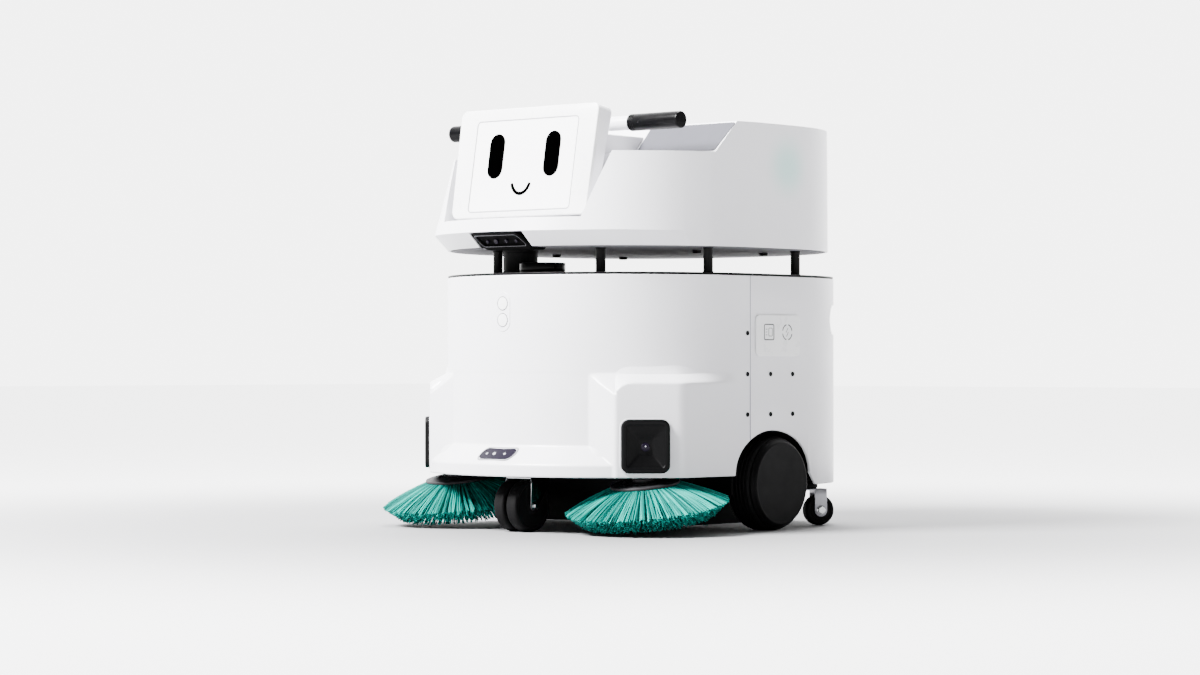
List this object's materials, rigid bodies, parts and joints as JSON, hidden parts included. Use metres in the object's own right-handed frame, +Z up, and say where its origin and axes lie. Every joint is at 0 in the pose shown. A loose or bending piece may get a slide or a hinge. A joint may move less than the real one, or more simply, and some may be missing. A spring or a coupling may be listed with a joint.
{
  "type": "robotic floor sweeper",
  "caption": "Self-driving floor sweeper with side brushes, main roller, slide-out dust bin, raised sensor deck, tilted face display and push handle.",
  "frame": {"origin": "on the floor, below the middle of the machine's footprint", "axes": "+Z up, -Y is the machine's front, +X is the flank with the service flap"},
  "size_m": [0.726, 0.734, 0.7477],
  "materials": {
    "shell_white": "smooth white moulded shell, satin gloss",
    "display_white": "lit pale screen behind glass",
    "grey_trim": "matte mid-grey moulding",
    "black_plastic": "fine-textured black moulding",
    "black_gloss": "polished black sensor window",
    "post_metal": "black powder-coated rod",
    "tyre_black": "dark solid rubber tread",
    "wheel_black": "satin black wheel cap",
    "grip_rubber": "dark smooth rubber sleeve",
    "bristle_teal": "teal nylon bristles",
    "fork_chrome": "mirror-polished pressed steel",
    "bracket_steel": "zinc-plated steel",
    "motor_steel": "turned motor can",
    "battery_case": "dark battery case",
    "filter_paper": "pleated filter paper",
    "belt_rubber": "black toothed belt",
    "button_teal": "teal push button",
    "base_black": "black coated plate"
  },
  "bodies": {
    "chassis": {"front_shell": "shell_white", "rear_shell": "shell_white", "port_tray": "black_plastic", "base_plate": "base_black", "deck_plate": "base_black", "deck_post_1": "post_metal", "deck_post_2": "post_metal", "deck_post_3": "post_metal", "deck_post_4": "post_metal", "deck_post_5": "post_metal", "cable_duct": "black_plastic", "lidar_base": "black_plastic", "wheel_well_left": "black_plastic", "wheel_well_right": "black_plastic", "upper_base": "grey_trim", "upper_shell": "shell_white", "console_cover": "shell_white", "head_bezel": "shell_white", "head_back": "shell_white", "display_panel": "display_white", "handle_bar": "shell_white", "grip_left": "grip_rubber", "grip_right": "grip_rubber", "chin_camera": "black_gloss", "lower_camera": "black_gloss", "side_camera_left": "black_gloss", "side_camera_right": "black_gloss", "sonar_pair": "shell_white", "drive_mount_left": "base_black", "drive_mount_right": "base_black", "side_brush_motor_left": "motor_steel", "side_brush_motor_right": "motor_steel", "roller_housing": "black_plastic", "roller_motor": "motor_steel", "drive_belt": "belt_rubber", "fan_housing": "black_plastic", "battery_pack": "battery_case", "control_box": "bracket_steel"},
    "drive_wheel_left": {"drive_hub_left": "wheel_black", "drive_tyre_left": "tyre_black"},
    "drive_wheel_right": {"drive_hub_right": "wheel_black", "drive_tyre_right": "tyre_black"},
    "front_caster": {"front_caster_fork": "fork_chrome"},
    "front_caster_roller": {"front_caster_wheels": "tyre_black"},
    "rear_caster_left": {"rear_caster_fork_left": "bracket_steel"},
    "rear_caster_right": {"rear_caster_fork_right": "bracket_steel"},
    "rear_caster_roller_left": {"rear_caster_wheel_left": "tyre_black"},
    "rear_caster_roller_right": {"rear_caster_wheel_right": "tyre_black"},
    "sweeper_left": {"side_brush_left": "bristle_teal"},
    "sweeper_right": {"side_brush_right": "bristle_teal"},
    "roller": {"roller_brush": "bristle_teal"},
    "motor_shaft": {"motor_pulley": "motor_steel"},
    "fan": {"fan_impeller": "grey_trim"},
    "lidar": {"lidar_rotor": "black_gloss"},
    "bin": {"dust_bin": "grey_trim", "bin_door": "shell_white", "dust_filter": "filter_paper"},
    "flap": {"service_flap": "shell_white"},
    "button": {"power_button": "button_teal"}
  },
  "joints": [
    {"name": "drive_spin_left", "type": "hinge", "parent": "chassis", "child": "drive_wheel_left", "pos_m": [-0.2865, 0.042, 0.083], "axis": [1, 0, 0], "continuous": true},
    {"name": "drive_spin_right", "type": "hinge", "parent": "chassis", "child": "drive_wheel_right", "pos_m": [0.2865, 0.042, 0.083], "axis": [1, 0, 0], "continuous": true},
    {"name": "front_caster_swivel", "type": "hinge", "parent": "chassis", "child": "front_caster", "pos_m": [0, -0.267, 0.09], "axis": [0, 0, 1], "continuous": true},
    {"name": "front_caster_roll", "type": "hinge", "parent": "front_caster", "child": "front_caster_roller", "pos_m": [0, -0.287, 0.046], "axis": [1, 0, 0], "continuous": true},
    {"name": "rear_caster_swivel_left", "type": "hinge", "parent": "chassis", "child": "rear_caster_left", "pos_m": [-0.245, 0.216, 0.08], "axis": [0, 0, 1], "continuous": true},
    {"name": "rear_caster_swivel_right", "type": "hinge", "parent": "chassis", "child": "rear_caster_right", "pos_m": [0.245, 0.216, 0.08], "axis": [0, 0, 1], "continuous": true},
    {"name": "rear_caster_roll_left", "type": "hinge", "parent": "rear_caster_left", "child": "rear_caster_roller_left", "pos_m": [-0.2555, 0.23419, 0.028], "axis": [-0.866, -0.5, 0], "continuous": true},
    {"name": "rear_caster_roll_right", "type": "hinge", "parent": "rear_caster_right", "child": "rear_caster_roller_right", "pos_m": [0.2555, 0.23419, 0.028], "axis": [-0.866, 0.5, 0], "continuous": true},
    {"name": "side_brush_spin_left", "type": "hinge", "parent": "chassis", "child": "sweeper_left", "pos_m": [-0.222, -0.215, 0.09], "axis": [0, -0.1478, 0.989], "continuous": true},
    {"name": "side_brush_spin_right", "type": "hinge", "parent": "chassis", "child": "sweeper_right", "pos_m": [0.222, -0.215, 0.09], "axis": [0, -0.1478, 0.989], "continuous": true},
    {"name": "roller_spin", "type": "hinge", "parent": "chassis", "child": "roller", "pos_m": [0, 0.006, 0.063], "axis": [1, 0, 0], "continuous": true},
    {"name": "motor_spin", "type": "hinge", "parent": "chassis", "child": "motor_shaft", "pos_m": [-0.213, -0.02, 0.186], "axis": [1, 0, 0], "continuous": true},
    {"name": "fan_spin", "type": "hinge", "parent": "chassis", "child": "fan", "pos_m": [0, 0.19, 0.374], "axis": [0, 0, 1], "continuous": true},
    {"name": "lidar_spin", "type": "hinge", "parent": "chassis", "child": "lidar", "pos_m": [0, -0.2335, 0.466], "axis": [0, 0, 1], "continuous": true},
    {"name": "bin_slide", "type": "slide", "parent": "chassis", "child": "bin", "axis": [0, 1, 0], "range_m": [0, 0.24]},
    {"name": "flap_hinge", "type": "hinge", "parent": "chassis", "child": "flap", "pos_m": [0.3165, 0.0976, 0.3445], "axis": [0, 0, 1], "range_deg": [0, 100]},
    {"name": "button_travel", "type": "slide", "parent": "chassis", "child": "button", "axis": [-1, 0, 0], "range_m": [0, 0.003], "stiffness_N_per_m": 600, "springref_m": -0.002}
  ],
  "couplings": [
    {"joint": "motor_spin", "follows": "roller_spin", "ratio": 1.8333}
  ]
}
